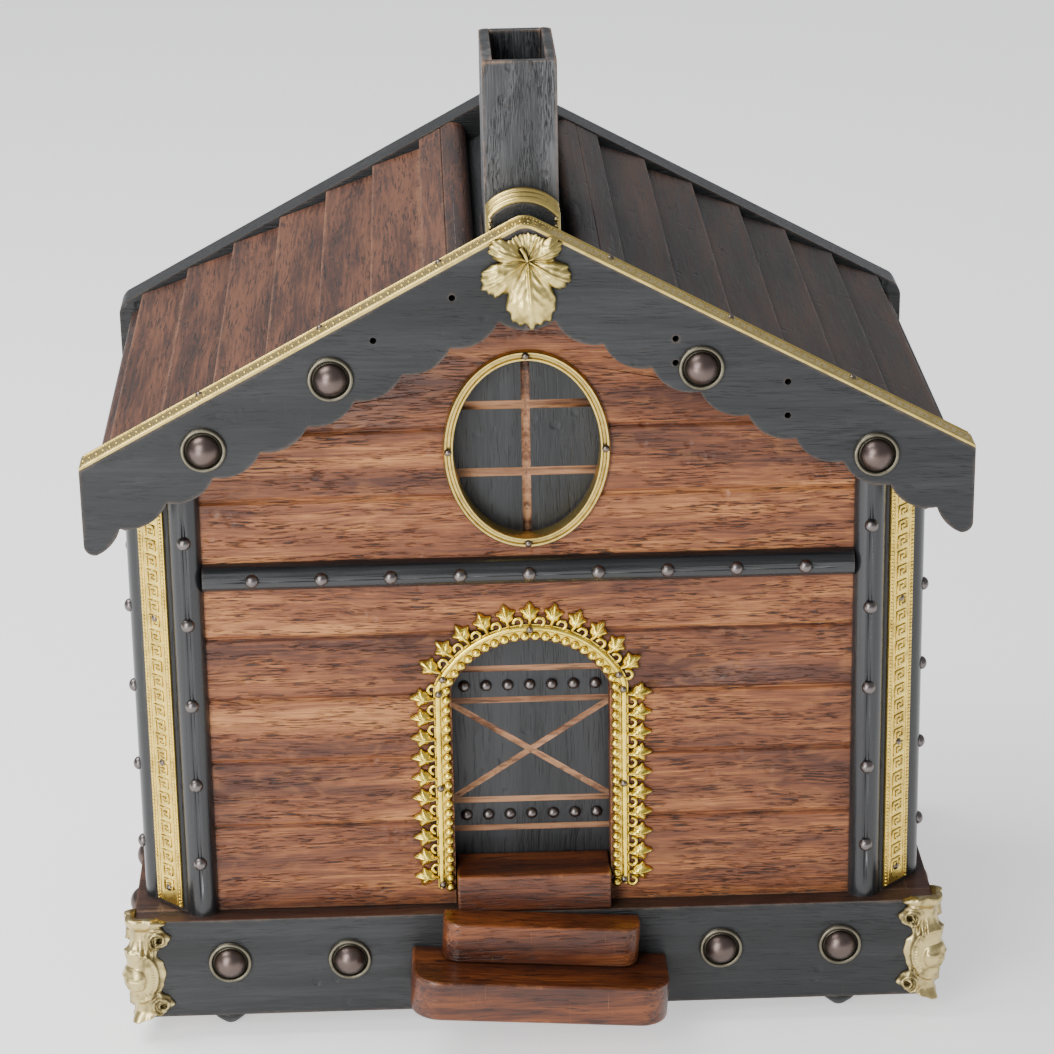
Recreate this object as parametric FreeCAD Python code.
import FreeCAD, Part
import math
import os

# A money box in the form of a timber cottage: oak walls and roof, ebonised trim, gilt brass mounts.
# Millimetres, +Z up, front towards -Y.  While it is built, y = 0 is the face of the front
# bargeboards; every piece is shifted back at the end, so that the origin is under the middle.

V = FreeCAD.Vector
UP = V(0, 0, 1)
BACK = V(0, 1, 0)

# ---- driving dimensions ----
gable_width = 300.0          # over the ends of the bargeboards
gable_depth = 207.0          # front face of the front boards to rear face of the rear boards
roof_tan = 0.54              # rise of the roof over its run
foot_height = 9.0
plinth_height = 37.4
wall_height = 163.6          # side walls, from the top of the plinth
eave_rise = 7.15             # outer height of the rails under the eaves

# bargeboards
board_thick = 16.0
board_drop = 27.5            # upright depth of a board at the notches of its lower edge
board_apex_radius = 6.0
lobe_pitch = 16.0            # run of one scallop
lobe_sag = 3.2
end_notch_inset = 12.6       # outermost notch, in from the end of the board
tip_radius = 3.4
tip_drop = 0.4               # lowest part of a board's ear, past the line of the notches
old_hole_diameter = 2.2      # nail holes of a lost ornament in the front boards
old_hole_depth = 5.0
old_holes = ((-50.7, 10.6), (-24.4, 10.8), (49.2, 13.3), (49.2, 21.7), (86.6, 9.1), (86.6, 20.9))  # x, drop
rear_corner_radius = 3.0
edge_strip_thick = 1.0
edge_strip_width = 11.6      # front to back; the rest of the board's top is bare
strip_pin_inset = 2.2        # from the strip's rear edge

# house
gable_overhang = 16.0        # bargeboards past the side walls
wall_thick = 12.0
corner_chamfer = 10.0
corner_land = 1.0            # flat of a corner post between its chamfer and its moulding
groove_width = 2.4
groove_depth = 1.2
lower_groove_shares = (0.254, 0.449, 0.634, 0.816)   # of the way up to the rail
upper_groove_gaps = (22.1, 46.4)                     # above the top of the rail
moulding_width = 11.0        # upright half-rounds
moulding_proud = 4.8
rail_width = 10.0
trim_gap = 0.2               # between the mouldings and the back of the bargeboards
eave_gap = 0.35              # between a closed roof flap and what it rests over

# plinth
plinth_proud = 8.0           # plinth face in front of the wall face
plinth_thick = 9.0
base_thick = 8.0
block_length = 35.0
block_width = 24.0
foot_diameter = 13.0
foot_inset_x = 32.0          # foot centre, in from the plinth's end
foot_inset_y = 13.5
peg_diameter = 5.0
peg_length = 8.0

# steps and doorway
step_rise = 14.9
upper_step_width = 69.4
upper_step_depth = 13.0
upper_step_radius = 6.5
lower_step_width = 90.4
lower_step_depth = 28.5
lower_step_radius = 10.5
step_lean = 3.8              # degrees that the glued steps have settled out of level
step_shift = 1.3             # to the right, off the middle of the doorway
door_width = 55.2
door_share = 0.509           # springing of the door arch, as a share of the wall's height
door_rise = 17.1
door_board_thick = 4.5
door_board_lap = 6.0
threshold_height = 14.1
fit_gap = 0.4                # loose pieces set in an opening
door_line_width = 2.2        # V-lines cut in the door board
window_line_width = 3.0
line_slope = 0.45            # depth of a V-line over its width
door_line_shares = (0.286, 0.418, 0.878, 1.022)      # of the height of the springing
nail_row_shares = (0.349, 0.946)
nail_pitch = 7.7
nails_in_row = 7
crest_thick = 2.0
crest_band = 6.8             # beads and fillet together
crest_leaf = 8.2             # how far the leaves stand out past the fillet
leaf_pitch = 7.1
crest_leg_lift = 7.0         # foot of a leg above the plinth

# window
window_half_width = 25.8
window_share = 0.1992        # half height of the window, as a share of the wall's height
rail_gap = 5.9               # rail above the door surround
window_gap = 3.2             # window surround above the rail
window_recess = 7.0
window_board_thick = 4.0
ring_band = 3.7
ring_thick = 2.0
sleeve_thick = 0.8
sleeve_depth = 5.0
window_bar_shares = (-0.322, 0.42)   # level lines, as shares of the window's half height

# ridge and chimney
ridge_rise = 3.2             # crown of the ridge roll above the apex of the bargeboards
ridge_depth = 38.5           # crown to the underside of the beam
shoulder_reach = 5.2         # beam past the hinge of each flap
rib_thick = 1.8
rib_width = 4.2
rib_count = 3
ridge_rise_share = 0.45      # height of the ridge roll over its springing, as a share of its half width
chimney_width = 25.0
chimney_depth = 50.0
chimney_start = 33.0         # chimney face behind the face of the bargeboards
chimney_rise = 47.2          # above the apex of the bargeboards
chimney_side_gap = 3.5       # between the chimney and the upper edge of a flap
chimney_side_thick = 3.6
chimney_front_thick = 2.6
chimney_rear_thick = 4.0
chimney_corner_radius = 3.0
mortise_gap = 0.05

# roof flaps
flap_board_thick = 5.0
plank_thin = 1.4
plank_butt = 4.6
plank_count = 7
flap_top_set = 0.4           # plank crests below the top of the bargeboards
butt_inset = 9.0             # lowest plank butt, in from the end of the bargeboards
eave_inset = 4.5             # outermost point of a flap, in from the same
flap_end_gap = 0.6
pin_diameter = 2.5
pin_bore_gap = 0.05          # radial, in the flap
pin_in_board = 10.0
pin_in_flap = 14.0
pin_end_gap = 0.5            # bore past the end of its pin
nosing_land = 3.0            # solid upper edge of a flap, past the middle of its pins

# small metalwork
stud_diameter = 4.8
stud_proud = 1.6
stud_shank = 1.4
stud_depth = 3.0
rail_studs = 9
rail_end_gap = 17.0          # outermost rail stud, in from the end of the rail
post_studs = 5
post_stud_first = 0.127      # lowest stud, as a share of the wall's height
post_stud_pitch = 0.184
side_stud_count = 5
boss_dome = 11.4
boss_flange = 15.4
boss_proud = 5.2
boss_shank = 2.4
boss_depth = 7.0
# bosses of the front boards, set by eye: share of the half width (left is minus), drop from the roof line
front_boss_places = ((-0.722, 16.0), (-0.435, 15.6), (0.385, 18.9), (0.777, 19.1))
rear_boss_places = ((-0.747, 17.3), (-0.409, 17.3), (0.409, 17.3), (0.747, 17.3))
plinth_boss_shares = (0.465, 0.764)  # of half the plinth's length
side_boss_share = 0.22               # pitch, as a share of the plinth's length front to back
boss_share = 0.56                    # height on the plinth
gilt_pin_head = 2.6
gilt_pin_proud = 0.9
gilt_pin_shank = 1.0
gilt_pin_depth = 4.0
strip_pin_shares = (0.187, 0.453, 0.727)
key_strip_margin = 0.6       # of the chamfer left bare on each side of a strip
key_strip_thick = 0.9
key_strip_gap = 1.5          # left free at each end of a strip
key_pin_foot = 6.0           # lowest pin above the foot of a strip
key_pin_shares = (0.34, 0.68)    # of the strip's length
key_pin_head = 3.0           # highest pin below the top of a strip
mount_half = 10.4            # half width of a corner mount, seen along the diagonal
mount_thick = 2.2
mount_bulge = 3.2            # cartouche past the plinth's corner, along each face
mount_over = 1.6             # how far it curls past the plinth, above and below
leaf_width = 30.0
leaf_height = 33.0
leaf_thick = 1.6
leaf_drop = 2.2              # top of the leaf below the board's apex
leaf_lobes = ((0, 1.0, 36), (-52, 0.74, 24), (66, 0.66, 23), (-95, 0.55, 20), (112, 0.5, 22))
# angle from straight down, length, half angle at the root

# ---- levels and planes that follow from them ----
theta = math.atan(roof_tan)
cos_t = math.cos(theta)
sin_t = math.sin(theta)
half_gable = gable_width / 2
half_body = half_gable - gable_overhang
plinth_bottom = foot_height
floor = foot_height + plinth_height
wall_top = floor + wall_height
wall_front = board_thick + moulding_proud + trim_gap
wall_rear = gable_depth - wall_front
board_back = board_thick
corner_size = corner_chamfer + corner_land + moulding_width / 2
rear_board_front = gable_depth - board_thick
plinth_front = wall_front - plinth_proud
plinth_rear = wall_rear + plinth_proud
half_plinth = half_body + plinth_proud
inner_front = wall_front + corner_size
inner_rear = wall_rear - corner_size
inner_half = half_body - corner_size
flap_under = flap_top_set + plank_butt + flap_board_thick
wall_clear = flap_under + eave_gap
apex_height = wall_top + eave_rise + half_body * roof_tan + wall_clear / cos_t
ridge_crown = apex_height + ridge_rise
ridge_bottom = ridge_crown - ridge_depth
chimney_top = apex_height + chimney_rise
half_chimney = chimney_width / 2
ridge_half = half_chimney - rib_thick
ridge_edge = half_chimney + chimney_side_gap
last_butt = half_gable - butt_inset
eave_edge = half_gable - eave_inset
door_half = door_width / 2
door_spring = door_share * wall_height
spring_z = floor + door_spring
window_half_height = window_share * wall_height
crest_out = 0.6 + crest_band + crest_leaf
rail_z = spring_z + door_rise + crest_out + rail_gap + rail_width / 2
window_z = rail_z + rail_width / 2 + window_gap + ring_band + window_half_height - sleeve_thick
half_strip = corner_chamfer / math.sqrt(2) - key_strip_margin
front_reach = plinth_front - lower_step_depth
rear_reach = gable_depth + boss_proud
middle_y = (front_reach + rear_reach) / 2


def roof_z(x, below=0.0):
    """Height of the plane of the bargeboard tops at x, less a depth measured square to it."""
    return apex_height - abs(x) * roof_tan - below / cos_t


# ---- helpers ----
def box(x0, x1, y0, y1, z0, z1):
    return Part.makeBox(x1 - x0, y1 - y0, z1 - z0, V(x0, y0, z0))


def outline(points):
    """Closed wire in the XZ plane: plain points, or (middle, end) pairs for arcs."""
    edges = []
    here = points[0]
    for step in list(points[1:]) + [points[0]]:
        if isinstance(step[0], tuple):
            through, end = step
            arc = Part.Arc(V(here[0], 0, here[1]), V(through[0], 0, through[1]), V(end[0], 0, end[1]))
            edges.append(arc.toShape())
            here = end
        elif step != here:
            edges.append(Part.makeLine(V(here[0], 0, here[1]), V(step[0], 0, step[1])))
            here = step
    return Part.Wire(edges)


def slab(points, y0, y1):
    """Solid between y0 and y1 whose outline in XZ is given by points."""
    face = Part.Face(outline(points))
    face.translate(V(0, y0, 0))
    return face.extrude(V(0, y1 - y0, 0))


def flip(shape):
    return shape.mirror(V(0, 0, 0), V(1, 0, 0))


def sided(shape, side):
    return shape if side > 0 else flip(shape)


def rear_of(shape):
    return shape.mirror(V(0, gable_depth / 2, 0), V(0, 1, 0))


def seat(piece, fasteners):
    """Drills the piece for the fasteners that go into it."""
    return piece.cut(Part.makeCompound(fasteners))


def turned(profile, base, direction):
    """Solid of revolution: profile is (radius, height) points from the axis round to the axis."""
    face = Part.Face(Part.makePolygon([V(r, 0, h) for r, h in profile + profile[:1]]))
    solid = face.revolve(V(0, 0, 0), UP, 360)
    solid.Placement = FreeCAD.Placement(base, FreeCAD.Rotation(UP, direction))
    return solid


def cap_profile(radius, proud, steps=5):
    """Points of a shallow dome from its rim to its crown."""
    ball = (radius * radius + proud * proud) / (2 * proud)
    rim = math.asin(min(1.0, radius / ball))
    points = []
    for k in range(steps + 1):
        a = rim * (1 - k / steps)
        points.append((ball * math.sin(a), proud - ball * (1 - math.cos(a))))
    points[-1] = (0.0, proud)
    return points


def stud(base, direction):
    shank = stud_shank / 2
    profile = [(0, -stud_depth), (shank, -stud_depth), (shank, 0)]
    return turned(profile + cap_profile(stud_diameter / 2, stud_proud), base, direction)


def gilt_pin(base, direction):
    shank = gilt_pin_shank / 2
    profile = [(0, -gilt_pin_depth), (shank, -gilt_pin_depth), (shank, 0)]
    return turned(profile + cap_profile(gilt_pin_head / 2, gilt_pin_proud, 3), base, direction)


def boss(base, direction):
    shank = boss_shank / 2
    flange = boss_flange / 2
    dome = boss_dome / 2
    rim = 1.1
    profile = [(0, -boss_depth), (shank, -boss_depth), (shank, 0), (flange, 0), (flange - 0.3, rim)]
    profile += [(flange - 1.1, rim), (dome, 0.5)]
    crown = [(r, h + 0.5) for r, h in cap_profile(dome, boss_proud - 0.5, 6)[1:]]
    return turned(profile + crown, base, direction)


parts = {}


def keep(name, *solids):
    parts[name] = solids[0] if len(solids) == 1 else Part.makeCompound(list(solids))


# ---- bargeboards ----
def notch(x):
    return (x, roof_z(x) - board_drop)


def gable_board(y0, y1, corner_radius):
    """The right-hand board of a gable, mitred at x = 0."""
    run = board_apex_radius * sin_t
    crown = roof_z(run) + board_apex_radius * (1 - cos_t)
    half_turn = (board_apex_radius * math.sin(theta / 2),
                 crown - board_apex_radius * (1 - math.cos(theta / 2)))
    points = [(0.0, crown), (half_turn, (run, roof_z(run)))]
    end_top = (half_gable, roof_z(half_gable))
    if corner_radius > 0:
        before = (half_gable - corner_radius * cos_t, roof_z(half_gable - corner_radius * cos_t))
        after = (half_gable, end_top[1] - corner_radius)
        points += [before, ((half_gable - corner_radius * 0.22, end_top[1] - corner_radius * 0.3), after)]
    else:
        points.append(end_top)
    tip_z = roof_z(half_gable) - board_drop - tip_drop
    points.append((half_gable - 0.2, tip_z + tip_radius * 0.4))
    tip = (half_gable - tip_radius * 1.3, tip_z - tip_radius * 0.6)
    points.append(((half_gable - tip_radius * 0.5, tip_z - tip_radius * 0.4), tip))
    x = half_gable - end_notch_inset
    first = notch(x)
    mid = ((tip[0] + first[0]) / 2 - 0.4, (tip[1] + first[1]) / 2 - 1.6)
    points.append((mid, first))
    while x - lobe_pitch > lobe_pitch * 0.35:
        nxt = notch(x - lobe_pitch)
        here = notch(x)
        mid = ((here[0] + nxt[0]) / 2 - lobe_sag * sin_t, (here[1] + nxt[1]) / 2 - lobe_sag * cos_t)
        points.append((mid, nxt))
        x -= lobe_pitch
    last = notch(x)
    low = last[1] - lobe_sag
    points.append(((x * 0.5, low + lobe_sag * 0.25), (0.0, low)))
    return slab(points, y0, y1)


def gable_bosses(places, y, direction):
    return [boss(V(share * half_gable, y, roof_z(abs(share) * half_gable) - drop), direction)
            for share, drop in places]


front_gable_bosses = gable_bosses(front_boss_places, 0, -BACK)
rear_gable_bosses = gable_bosses(rear_boss_places, gable_depth, BACK)


def edge_strip():
    """Gilt strip bent over the top edges of the front boards."""
    inner = board_apex_radius
    outer = inner + edge_strip_thick
    run_in = inner * sin_t
    run_out = outer * sin_t
    centre = roof_z(run_in) - inner * cos_t
    end_x = half_gable
    rise = edge_strip_thick / cos_t
    points = [(-end_x, roof_z(end_x)), (-run_in, roof_z(run_in)),
              ((0.0, centre + inner), (run_in, roof_z(run_in))), (end_x, roof_z(end_x)),
              (end_x, roof_z(end_x) + rise), (run_out, centre + outer * cos_t),
              ((0.0, centre + outer), (-run_out, centre + outer * cos_t)),
              (-end_x, roof_z(end_x) + rise)]
    return slab(points, 0, edge_strip_width)


strip_normal = {side: V(side * sin_t, 0, cos_t) for side in (-1, 1)}
strip_pins = []
for side in (-1, 1):
    for share in strip_pin_shares:
        x = share * half_gable
        foot = V(side * x, edge_strip_width - strip_pin_inset, roof_z(x))
        top = foot + strip_normal[side] * edge_strip_thick
        strip_pins.append(gilt_pin(top, strip_normal[side]))

# hinge axes of the roof flaps, in the middle of the round upper edge of each flap
nose_radius = (flap_board_thick + plank_butt) / 2
hinge_x = ridge_edge + nose_radius
hinge_z = roof_z(hinge_x, flap_under - nose_radius)


def pivot_pin(side, y0, y1, radius):
    return Part.makeCylinder(radius, y1 - y0, V(side * hinge_x, y0, hinge_z), BACK)


flap_front = board_back + flap_end_gap
flap_rear = rear_board_front - flap_end_gap
pin_spans = ((board_back - pin_in_board, flap_front + pin_in_flap),
             (flap_rear - pin_in_flap, rear_board_front + pin_in_board))
old_nail_holes = [Part.makeCylinder(old_hole_diameter / 2, old_hole_depth, V(x, 0, roof_z(x) - drop), BACK)
                  for x, drop in old_holes]
pivot_pins = [pivot_pin(side, y0, y1, pin_diameter / 2) for side in (-1, 1) for y0, y1 in pin_spans]
keep("hinge_pins", *pivot_pins)

for side, word in ((-1, "left"), (1, "right")):
    front = sided(gable_board(0, board_back, 0), side)
    front = seat(front, front_gable_bosses + strip_pins + pivot_pins + old_nail_holes)
    keep("bargeboard_front_" + word, front)
    rear = sided(gable_board(rear_board_front, gable_depth, rear_corner_radius), side)
    keep("bargeboard_rear_" + word, seat(rear, rear_gable_bosses + pivot_pins))
keep("gable_edge_strip", seat(edge_strip(), strip_pins))


def vine_leaf():
    """Five-lobed leaf below the apex, its longest lobe pointing down."""
    points = []
    steps = 90
    for k in range(steps):
        a = 360.0 * k / steps
        reach = 0.3
        for lobe, length, spread in leaf_lobes:
            off = abs((a - lobe + 180) % 360 - 180) / spread
            if off < 1:
                reach = max(reach, length * (1 - off ** 2) ** 0.4)
        points.append((reach * math.sin(math.radians(a)), -reach * math.cos(math.radians(a))))
    left = min(x for x, z in points)
    right = max(x for x, z in points)
    low = min(z for x, z in points)
    high = max(z for x, z in points)
    top = apex_height - leaf_drop
    across = leaf_width / (right - left)
    upright = leaf_height / (high - low)
    points = [((x - (left + right) / 2) * across, top + (z - high) * upright) for x, z in points]
    return slab(points, -leaf_thick, 0)


keep("vine_leaf", vine_leaf())

# ---- ridge beam and its ribs ----
roll_rise = ridge_rise_share * ridge_half
roll_spring = ridge_crown - roll_rise
shoulder_half = hinge_x + shoulder_reach


def ridge_section(grow):
    """Section of the ridge beam: a low round roll on a pair of sloping shoulders."""
    half = shoulder_half + grow
    set_down = flap_under + eave_gap
    low = ridge_bottom - grow
    roll = ridge_half + grow
    return [(-half, low), (half, low), (half, roof_z(shoulder_half, set_down)),
            (roll, roof_z(roll, set_down)), (roll, roll_spring),
            ((0.0, ridge_crown + grow), (-roll, roll_spring)), (-roll, roof_z(roll, set_down)),
            (-half, roof_z(shoulder_half, set_down))]


chimney_end = chimney_start + chimney_depth
mortise = box(-half_chimney - mortise_gap, half_chimney + mortise_gap,
              chimney_start - mortise_gap, chimney_end + mortise_gap,
              ridge_bottom - 1, ridge_crown + 1)
keep("ridge_beam", slab(ridge_section(0), board_back, rear_board_front).cut(mortise))


def rib(y0, y1):
    inner = ridge_half
    outer = inner + rib_thick
    foot = roof_z(inner, wall_clear)
    points = [(inner, foot), (outer, foot), (outer, roll_spring),
              ((0.0, ridge_crown + rib_thick), (-outer, roll_spring)),
              (-outer, foot), (-inner, foot), (-inner, roll_spring),
              ((0.0, ridge_crown), (inner, roll_spring))]
    return slab(points, y0, y1)


rib_pitch = (chimney_start - board_back) / rib_count
rib_starts = [board_back + rib_pitch * (k + 0.5) - rib_width / 2 for k in range(rib_count)]
keep("ridge_ribs", *[rib(y, y + rib_width) for y in rib_starts])

# ---- chimney: the front board covers the ends of the side boards, the rear board is between them ----
shell = box(-half_chimney, half_chimney, chimney_start, chimney_end, ridge_bottom, chimney_top)
rear_arrises = [e for e in shell.Edges
                if abs(e.BoundBox.YMin - chimney_end) < 1e-6 and e.BoundBox.ZLength > chimney_depth / 2]
shell = shell.makeFillet(min(chimney_corner_radius, chimney_side_thick * 0.9), rear_arrises)
flue_half = half_chimney - chimney_side_thick
for side, word in ((-1, "left"), (1, "right")):
    cheek = box(flue_half, half_chimney, chimney_start + chimney_front_thick, chimney_end,
                ridge_bottom, chimney_top)
    keep("chimney_%s_board" % word, shell.common(sided(cheek, side)))
keep("chimney_front_board", box(-half_chimney, half_chimney, chimney_start,
                                chimney_start + chimney_front_thick, ridge_bottom, chimney_top))
keep("chimney_rear_board", box(-flue_half, flue_half, chimney_end - chimney_rear_thick, chimney_end,
                               ridge_bottom, chimney_top))

# ---- roof flaps: a board with a round upper edge, and lapped planks on it ----
along = V(cos_t, 0, -sin_t)      # down the slope, on the right
square = V(sin_t, 0, cos_t)      # out of the slope
hinge_point = V(hinge_x, 0, hinge_z)


def on_flap(s, h):
    """Point s down the slope from the hinge axis and h above the underside of the flap."""
    p = hinge_point + along * s + square * (h - nose_radius)
    return (p.x, p.z)


def slope_run(x, h):
    """Distance down the slope from the hinge axis of the point at x and h."""
    return (x - hinge_x - sin_t * (h - nose_radius)) / cos_t


eave_radius = flap_board_thick / 2
eave_s = slope_run(eave_edge - eave_radius, eave_radius)
plank_run = (last_butt - ridge_edge) / plank_count
butt_s = [slope_run(ridge_edge + plank_run * (k + 1), flap_board_thick + plank_butt)
          for k in range(plank_count)]


def flap_board():
    t = flap_board_thick
    under = on_flap(0, 0)
    eave_low = on_flap(eave_s, 0)
    eave_tip = on_flap(eave_s + eave_radius, eave_radius)
    eave_top = on_flap(eave_s, t)
    nose_top = on_flap(0, 2 * nose_radius)
    shelf = on_flap(nosing_land, 2 * nose_radius)
    shelf_low = on_flap(nosing_land, t)
    return slab([under, eave_low, (eave_tip, eave_top), shelf_low, shelf, nose_top,
                 (on_flap(-nose_radius, nose_radius), under)], flap_front, flap_rear)


def flap_planks():
    planks = []
    above = nosing_land
    thin = plank_butt
    for s in butt_s:
        t = flap_board_thick
        section = [on_flap(above, t), on_flap(s, t), on_flap(s, t + plank_butt), on_flap(above, t + thin)]
        planks.append(slab(section, flap_front, flap_rear))
        above = s
        thin = plank_thin
    return planks


for side, word in ((-1, "left"), (1, "right")):
    bores = [pivot_pin(1, y0 - pin_end_gap, y1 + pin_end_gap, pin_diameter / 2 + pin_bore_gap)
             for y0, y1 in pin_spans]
    board = flap_board().cut(Part.makeCompound(bores))
    keep("flap_board_" + word, sided(board, side))
    keep("roof_planks_" + word, *[sided(p, side) for p in flap_planks()])

# ---- walls ----
def vee(x0, x1, z, y):
    """Cutter for a level V-groove in the face at y, which looks towards -Y."""
    w = groove_width / 2
    tri = Part.makePolygon([V(x0, y - 0.01, z - w), V(x0, y - 0.01, z + w), V(x0, y + groove_depth, z),
                            V(x0, y - 0.01, z - w)])
    return Part.Face(tri).extrude(V(x1 - x0, 0, 0))


groove_levels = [floor + share * (rail_z - floor) for share in lower_groove_shares]
groove_levels += [rail_z + rail_width / 2 + gap for gap in upper_groove_gaps]


def gable_wall():
    """Gable end between the corner posts, notched round the ridge beam."""
    shoulder = roof_z(inner_half, wall_clear)
    points = [(-inner_half, floor), (inner_half, floor), (inner_half, shoulder), (0, roof_z(0, wall_clear)),
              (-inner_half, shoulder)]
    wall = slab(points, wall_front, wall_front + wall_thick)
    grooves = [vee(-inner_half - 1, inner_half + 1, z, wall_front) for z in groove_levels]
    wall = wall.cut(Part.makeCompound(grooves))
    return wall.cut(slab(ridge_section(mortise_gap), 0, gable_depth / 2))


def door_arch(grow):
    """Outline of the doorway, grown on every side but the foot."""
    half = door_width / 2 + grow
    spring = floor + door_spring
    rise = door_rise + grow
    return [(-half, floor), (half, floor), (half, spring), ((0.0, spring + rise), (-half, spring))]


def oval(half_width, half_height, y0, y1):
    middle = V(0, y0, window_z)
    curve = Part.Ellipse(middle + V(0, 0, half_height), middle + V(half_width, 0, 0), middle)
    return Part.Face(Part.Wire(curve.toShape())).extrude(V(0, y1 - y0, 0))


# fasteners of the front gable
wall_out = -BACK
crest_face = wall_front - crest_thick
leg_middle = door_half + 4.6
arch_radius = (door_half ** 2 + door_rise ** 2) / (2 * door_rise)
arch_centre = spring_z + door_rise - arch_radius
arch_span = math.asin(door_half / arch_radius)
crest_pins = []
for side in (-1, 1):
    for z in (floor + crest_leg_lift + 1.5, floor + 0.55 * door_spring, spring_z - 1.6):
        crest_pins.append(gilt_pin(V(side * leg_middle, crest_face, z), wall_out))
    a = arch_span - 0.06
    r = arch_radius + 4.6
    at = V(side * r * math.sin(a), crest_face, arch_centre + r * math.cos(a))
    crest_pins.append(gilt_pin(at, wall_out))
crest_pins.append(gilt_pin(V(0, crest_face, arch_centre + arch_radius + 4.6), wall_out))

ring_pins = []
ring_middle = ring_band / 2 - sleeve_thick
for x, z in ((0, 1), (0, -1), (1, 0), (-1, 0)):
    at = V(x * (window_half_width + ring_middle), wall_front - ring_thick,
           window_z + z * (window_half_height + ring_middle))
    ring_pins.append(gilt_pin(at, wall_out))

front_wall = gable_wall()
front_wall = front_wall.cut(slab(door_arch(0), wall_front - 1, wall_front + wall_thick + 1))
front_wall = front_wall.cut(oval(window_half_width, window_half_height,
                                 wall_front - 1, wall_front + wall_thick + 1))
keep("front_wall", seat(front_wall, crest_pins + ring_pins))
keep("rear_wall", rear_of(gable_wall()))


def side_wall():
    """Right-hand side wall between the corner posts."""
    wall = box(half_body - wall_thick, half_body, inner_front, inner_rear, floor, wall_top)
    cutters = []
    for z in groove_levels:
        if z < wall_top - groove_width:
            w = groove_width / 2
            outside = half_body + 0.01
            start = inner_front - 1
            tri = Part.makePolygon([V(outside, start, z - w), V(outside, start, z + w),
                                    V(half_body - groove_depth, start, z), V(outside, start, z - w)])
            cutters.append(Part.Face(tri).extrude(V(0, inner_rear - inner_front + 2, 0)))
    return wall.cut(Part.makeCompound(cutters))


def corner_post():
    """Front right corner post with its outer corner taken off."""
    c = corner_chamfer
    ring = [V(inner_half, wall_front, floor), V(half_body - c, wall_front, floor),
            V(half_body, wall_front + c, floor), V(half_body, inner_front, floor),
            V(inner_half, inner_front, floor), V(inner_half, wall_front, floor)]
    return Part.Face(Part.makePolygon(ring)).extrude(V(0, 0, wall_height))


def half_round(width, proud, length):
    """Half-round moulding standing up from z = 0, flat back on y = 0, front towards -Y."""
    w = width / 2
    arc = Part.Arc(V(-w, 0, 0), V(0, -proud, 0), V(w, 0, 0)).toShape()
    return Part.Face(Part.Wire([arc, Part.makeLine(V(w, 0, 0), V(-w, 0, 0))])).extrude(V(0, 0, length))


def placed(shape, base, turn):
    copy = shape.copy()
    copy.Placement = FreeCAD.Placement(base, turn)
    return copy


stay = FreeCAD.Rotation()
quarter = FreeCAD.Rotation(UP, 90)                       # faces +X
level = FreeCAD.Rotation(V(0, 1, 0), 90)                 # lies along +X, faces -Y
side_level = quarter.multiply(level)

front_studs = []
side_studs = []
post_levels = [floor + (post_stud_first + k * post_stud_pitch) * wall_height for k in range(post_studs)]
rail_half = inner_half - moulding_width / 2
rail_stud_pitch = 2 * (rail_half - rail_end_gap) / (rail_studs - 1)
side_rail_length = inner_rear - inner_front - moulding_width
side_stud_pitch = side_rail_length / side_stud_count
stud_face = wall_front - moulding_proud
side_face = half_body + moulding_proud
for z in post_levels:
    front_studs += [stud(V(side * inner_half, stud_face, z), -BACK) for side in (-1, 1)]
    side_studs += [stud(V(side_face, y, z), V(1, 0, 0)) for y in (inner_front, inner_rear)]
for k in range(rail_studs):
    front_studs.append(stud(V((k - (rail_studs - 1) / 2) * rail_stud_pitch, stud_face, rail_z), -BACK))
side_middle = gable_depth / 2
for k in range(side_stud_count):
    y = side_middle + (k - (side_stud_count - 1) / 2) * side_stud_pitch
    side_studs.append(stud(V(side_face, y, rail_z), V(1, 0, 0)))
rear_studs = [rear_of(s) for s in front_studs]
left_studs = [flip(s) for s in side_studs]

post_length = wall_height
upright_moulding = half_round(moulding_width, moulding_proud, post_length)
front_moulding = placed(upright_moulding.copy(), V(inner_half, wall_front, floor), stay)
side_moulding = placed(upright_moulding.copy(), V(half_body, inner_front, floor), quarter)
front_moulding = seat(front_moulding, front_studs)
side_moulding = seat(side_moulding, side_studs)
mount_pins = []
key_pins = []
post = corner_post()
strip_length = wall_height - 2 * key_strip_gap
chamfer_middle = V(half_body - corner_chamfer / 2, wall_front + corner_chamfer / 2, floor + key_strip_gap)
outward = V(1, -1, 0).normalize()
key_strip = Part.makeBox(2 * half_strip, key_strip_thick, strip_length, V(-half_strip, -key_strip_thick, 0))
key_strip = placed(key_strip, chamfer_middle, FreeCAD.Rotation(UP, 45))
strip_pin_heights = [key_pin_foot]
strip_pin_heights += [share * strip_length for share in key_pin_shares]
strip_pin_heights += [strip_length - key_pin_head]
for z in strip_pin_heights:
    key_pins.append(gilt_pin(chamfer_middle + outward * key_strip_thick + V(0, 0, z), outward))
post = seat(post, key_pins)
key_strip = seat(key_strip, key_pins)
side_right = side_wall()

corners = (("front_left", flip), ("front_right", lambda s: s),
           ("rear_left", lambda s: rear_of(flip(s))), ("rear_right", rear_of))
for word, move in corners:
    keep("corner_post_" + word, move(post))
    keep("corner_mouldings_" + word, move(front_moulding), move(side_moulding))
keep("key_strips", *[move(key_strip) for word, move in corners])
keep("right_wall", side_right)
keep("left_wall", flip(side_right))

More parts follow.
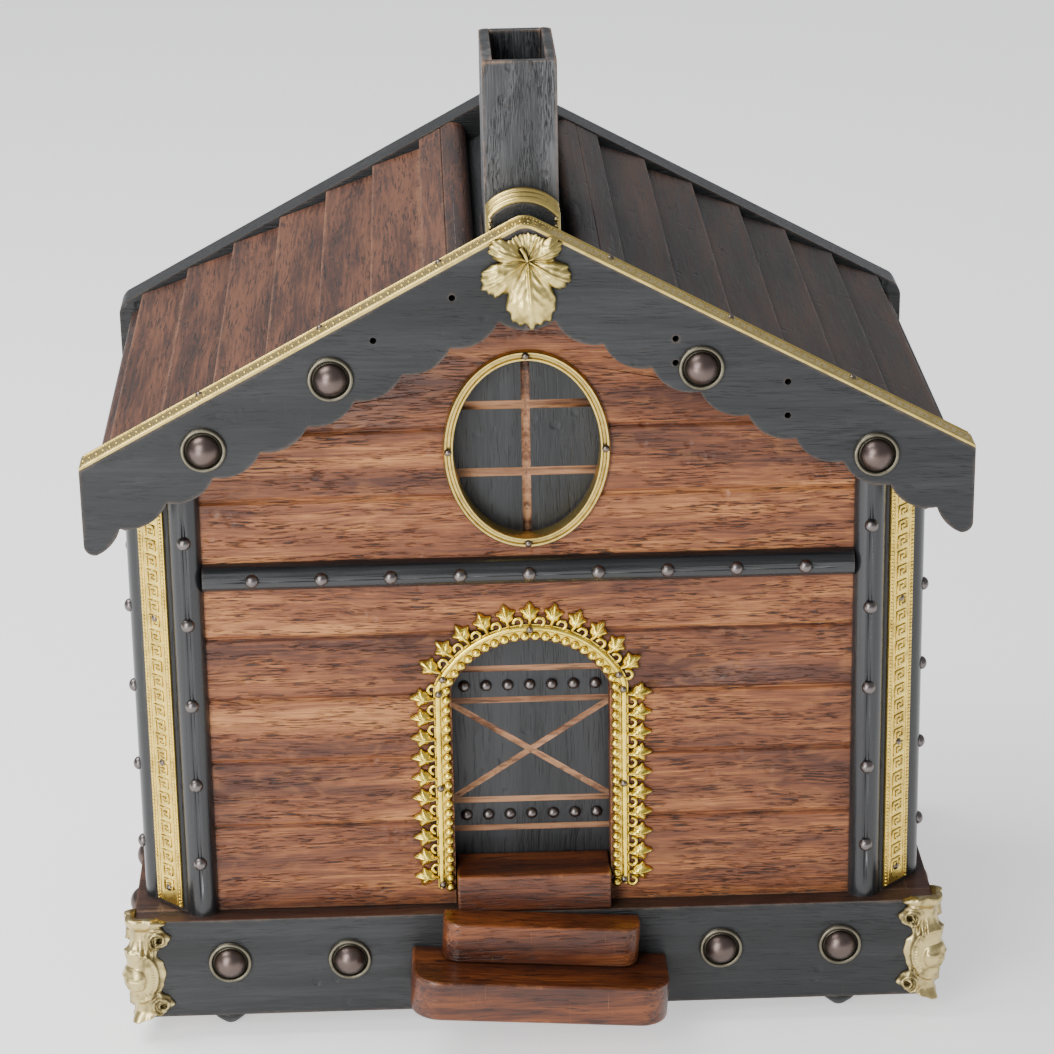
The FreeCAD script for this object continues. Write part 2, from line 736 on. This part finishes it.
front_rail = half_round(rail_width, moulding_proud, 2 * rail_half)
front_rail = placed(front_rail, V(-rail_half, wall_front, rail_z), level)
front_rail = seat(front_rail, front_studs)
side_rail = placed(half_round(rail_width, moulding_proud, side_rail_length),
                   V(half_body, inner_front + moulding_width / 2, rail_z), side_level)
side_rail = seat(side_rail, side_studs)
keep("front_rail", front_rail)
keep("rear_rail", rear_of(front_rail))
keep("right_rail", side_rail)
keep("left_rail", flip(side_rail))
keep("moulding_studs", *(front_studs + rear_studs + side_studs + left_studs))

# eave rails on the side walls, between the front and rear bargeboards
for side, word in ((-1, "left"), (1, "right")):
    section = [(inner_half, wall_top), (half_body, wall_top), (half_body, roof_z(half_body, wall_clear)),
               (inner_half, roof_z(inner_half, wall_clear))]
    keep("eave_rail_" + word, sided(slab(section, board_back, rear_board_front), side))

# ---- doorway ----
def cut_line(length, width, middle, turn):
    """Cutter for a V-line in a face that looks towards -Y, turned about the middle in degrees."""
    w = width / 2
    lip = 0.01
    section = [V(-length / 2, -lip, -w), V(-length / 2, -lip, w), V(-length / 2, width * line_slope, 0),
               V(-length / 2, -lip, -w)]
    bar = Part.Face(Part.makePolygon(section)).extrude(V(length, 0, 0))
    return placed(bar, middle, FreeCAD.Rotation(BACK, turn))


panel_face = wall_front + wall_thick
panel = slab([(-door_half - door_board_lap, floor), (door_half + door_board_lap, floor),
              (door_half + door_board_lap, spring_z + door_rise + door_board_lap),
              (-door_half - door_board_lap, spring_z + door_rise + door_board_lap)],
             panel_face, panel_face + door_board_thick)
door_lines = [floor + share * door_spring for share in door_line_shares]
lines = [cut_line(2 * door_half, door_line_width, V(0, panel_face, z), 0) for z in door_lines]
cross_low = door_lines[1] + door_line_width / 2
cross_high = door_lines[2] - door_line_width / 2
cross_tall = cross_high - cross_low
cross_long = math.hypot(2 * door_half, cross_tall)
for side in (-1, 1):
    turn = side * math.degrees(math.atan2(cross_tall, 2 * door_half))
    lines.append(cut_line(cross_long, door_line_width, V(0, panel_face, (cross_low + cross_high) / 2), turn))
panel = panel.cut(Part.makeCompound(lines))
nails = []
for share in nail_row_shares:
    for k in range(nails_in_row):
        x = (k - (nails_in_row - 1) / 2) * nail_pitch
        nails.append(stud(V(x, panel_face, floor + share * door_spring), -BACK))
keep("door_panel", seat(panel, nails))
keep("door_nails", *nails)
keep("threshold", box(-door_half + fit_gap, door_half - fit_gap, plinth_front, panel_face,
                      floor, floor + threshold_height))


def crest_leg():
    """Right-hand upright of the gilt door surround, its outer edge cut into leaves."""
    inner = door_half + 0.6
    outer = inner + crest_band
    foot = floor + crest_leg_lift
    leg = box(inner, outer, crest_face, wall_front, foot, spring_z)
    count = int((spring_z - foot) / leaf_pitch)
    pitch = (spring_z - foot) / count
    for k in range(count):
        z = foot + (k + 0.5) * pitch
        tip = outer + crest_leaf
        leaf = slab([(outer - 0.5, z - pitch * 0.42), (outer + crest_leaf * 0.5, z - pitch * 0.42), (tip, z),
                     (outer + crest_leaf * 0.5, z + pitch * 0.42), (outer - 0.5, z + pitch * 0.42)],
                    crest_face, wall_front)
        leg = leg.fuse(leaf)
    return leg.removeSplitter()


def crest_arch():
    """Arched head of the door surround."""
    inner = arch_radius + 0.6
    outer = inner + crest_band
    span = arch_span - 0.035

    def at(r, a):
        return (r * math.sin(a), arch_centre + r * math.cos(a))

    band = slab([at(inner, -span), (at(inner, 0), at(inner, span)), at(outer, span),
                 (at(outer, 0), at(outer, -span))], crest_face, wall_front)
    count = 11
    for k in range(count):
        a = span * (2 * (k + 0.5) / count - 1)
        w = span / count * 0.8
        middle = outer + crest_leaf * 0.5
        leaf = [at(outer - 0.5, a - w), at(middle, a - w), at(outer + crest_leaf, a), at(middle, a + w),
                at(outer - 0.5, a + w)]
        band = band.fuse(slab(leaf, crest_face, wall_front))
    keep_above = box(-half_body, half_body, crest_face - 1, wall_front + 1, spring_z + 0.05, wall_top * 2)
    return band.common(keep_above).removeSplitter()


leg = seat(crest_leg(), crest_pins)
keep("crest_legs", leg, flip(leg))
keep("crest_arch", seat(crest_arch(), crest_pins))

# ---- window ----
window_face = wall_front + window_recess
board_half_w = window_half_width - fit_gap / 4
board_half_h = window_half_height - fit_gap / 4
window_board = oval(board_half_w, board_half_h, window_face, window_face + window_board_thick)
bars = [cut_line(2 * window_half_height, window_line_width, V(0, window_face, window_z), 90)]
for z in (window_z + share * window_half_height for share in window_bar_shares):
    bars.append(cut_line(2 * window_half_width, window_line_width, V(0, window_face, z), 0))
keep("window_panel", window_board.cut(Part.makeCompound(bars)))
inner_w = board_half_w - sleeve_thick
inner_h = board_half_h - sleeve_thick
ring = oval(inner_w + ring_band, inner_h + ring_band, wall_front - ring_thick, wall_front)
ring = ring.fuse(oval(board_half_w, board_half_h, wall_front - ring_thick, wall_front + sleeve_depth))
ring = ring.cut(oval(inner_w, inner_h, wall_front - ring_thick - 1, wall_front + sleeve_depth + 1))
keep("window_ring", seat(ring, ring_pins))

# ---- plinth, feet and steps ----
boss_z = plinth_bottom + boss_share * plinth_height
plinth_length = plinth_rear - plinth_front
front_plinth_bosses = [boss(V(side * share * half_plinth, plinth_front, boss_z), -BACK)
                       for side in (-1, 1) for share in plinth_boss_shares]
side_bosses = [boss(V(half_plinth, side_middle + k * side_boss_share * plinth_length, boss_z), V(1, 0, 0))
               for k in (-1, 0, 1)]
rear_plinth_bosses = [rear_of(b) for b in front_plinth_bosses]
left_bosses = [flip(b) for b in side_bosses]
keep("round_bosses", *(front_gable_bosses + rear_gable_bosses + front_plinth_bosses + rear_plinth_bosses
                       + side_bosses + left_bosses))

corner_x = half_plinth
corner_y = plinth_front


def corner_mount():
    """Gilt mount wrapped round the front right corner of the plinth, curling over top and bottom."""
    low = plinth_bottom - mount_over
    tall = plinth_height + 2 * mount_over
    t = mount_thick
    reach = mount_half * math.sqrt(2)
    wrap = box(corner_x - reach, corner_x + t, corner_y - t, corner_y + reach, low, low + tall)
    # half widths seen along the diagonal: leaf tip, lower scroll, waist, cartouche, waist, scroll, lip
    shares = (0.0, 0.25), (0.08, 0.6), (0.17, 0.95), (0.26, 0.7), (0.33, 0.55), (0.45, 0.82), (0.57, 0.6)
    shares += (0.68, 0.7), (0.79, 1.0), (0.9, 0.8), (1.0, 0.9)
    right = [(mount_half * wide, low + tall * share) for share, wide in shares]
    left = [(-x, z) for x, z in reversed(right)]
    view = slab(right + left, -2 * reach, 2 * reach)
    view = placed(view, V(corner_x, corner_y, 0), FreeCAD.Rotation(UP, 45))
    belly = Part.makeCylinder(t + mount_bulge, tall * 0.34, V(corner_x - t, corner_y + t, low + tall * 0.28))
    solids_behind = [box(-half_plinth, half_plinth, plinth_front, plinth_rear, plinth_bottom, floor),
                     box(-half_body, half_body, wall_front, wall_rear, floor, wall_top)]
    return wrap.common(view).fuse(belly).cut(Part.makeCompound(solids_behind)).removeSplitter()


mount = corner_mount()
for word, move in corners:
    keep("corner_mount_" + word, move(mount))

foot_x = half_plinth - foot_inset_x
foot_y = plinth_front + foot_inset_y
foot_r = foot_diameter / 2
foot_profile = [(0, 0), (foot_r * 0.36, 0), (foot_r * 0.56, foot_height * 0.12),
                (foot_r * 0.84, foot_height * 0.3), (foot_r * 0.98, foot_height * 0.44),
                (foot_r, foot_height * 0.58), (foot_r * 0.64, foot_height * 0.74),
                (foot_r * 0.88, foot_height * 0.88), (foot_r * 0.88, foot_height),
                (peg_diameter / 2, foot_height), (peg_diameter / 2, foot_height + peg_length),
                (0, foot_height + peg_length)]
foot = turned(foot_profile, V(foot_x, foot_y, 0), UP)
feet = [move(foot) for word, move in corners]
keep("feet", *feet)

inner_plinth_x = half_plinth - plinth_thick
inner_plinth_front = plinth_front + plinth_thick
inner_plinth_rear = plinth_rear - plinth_thick
block = box(inner_plinth_x - block_length, inner_plinth_x, inner_plinth_front,
            inner_plinth_front + block_width, plinth_bottom, floor - base_thick)
keep("glue_blocks", *[move(seat(block, [foot])) for word, move in corners])
keep("base_board", box(-inner_plinth_x, inner_plinth_x, inner_plinth_front, inner_plinth_rear,
                       floor - base_thick, floor))
front_plinth = box(-half_plinth, half_plinth, plinth_front, inner_plinth_front, plinth_bottom, floor)
front_plinth = seat(front_plinth, front_plinth_bosses)
keep("plinth_front", seat(front_plinth, feet))
rear_plinth = box(-half_plinth, half_plinth, inner_plinth_rear, plinth_rear, plinth_bottom, floor)
keep("plinth_rear", seat(seat(rear_plinth, rear_plinth_bosses), feet))
right_plinth = box(inner_plinth_x, half_plinth, inner_plinth_front, inner_plinth_rear, plinth_bottom, floor)
right_plinth = seat(right_plinth, side_bosses)
keep("plinth_right", right_plinth)
keep("plinth_left", flip(right_plinth))


def step(width, depth, radius, z0, z1):
    """Oak block with rounded front corners, its back on the plinth."""
    solid = box(-width / 2, width / 2, plinth_front - depth, plinth_front, z0, z1)
    front = [e for e in solid.Edges
             if abs(e.BoundBox.YMax - (plinth_front - depth)) < 1e-6 and e.BoundBox.ZLength > step_rise / 2]
    solid = solid.makeFillet(min(radius, depth * 0.9), front)
    solid.rotate(V(0, plinth_front, floor - step_rise), BACK, step_lean)
    solid.translate(V(step_shift, 0, 0))
    return solid


keep("upper_step", step(upper_step_width, upper_step_depth, upper_step_radius, floor - step_rise, floor))
keep("lower_step", step(lower_step_width, lower_step_depth, lower_step_radius, floor - 2 * step_rise,
                        floor - step_rise))

keep("gilt_pins", *(strip_pins + crest_pins + ring_pins
                    + [move(pin) for pin in key_pins for word, move in corners]))

# ---- export ----
os.makedirs("parts", exist_ok=True)
for name, shape in parts.items():
    shape = shape.copy()
    shape.translate(V(0, -middle_y, 0))
    shape.exportStep(os.path.join("parts", name + ".step"))
    print("%-30s %2d solids %10.1f mm3" % (name, len(shape.Solids), shape.Volume))
print("nodes", len(parts), "middle", round(middle_y, 3), "hinge", round(hinge_x, 3), round(hinge_z, 3))
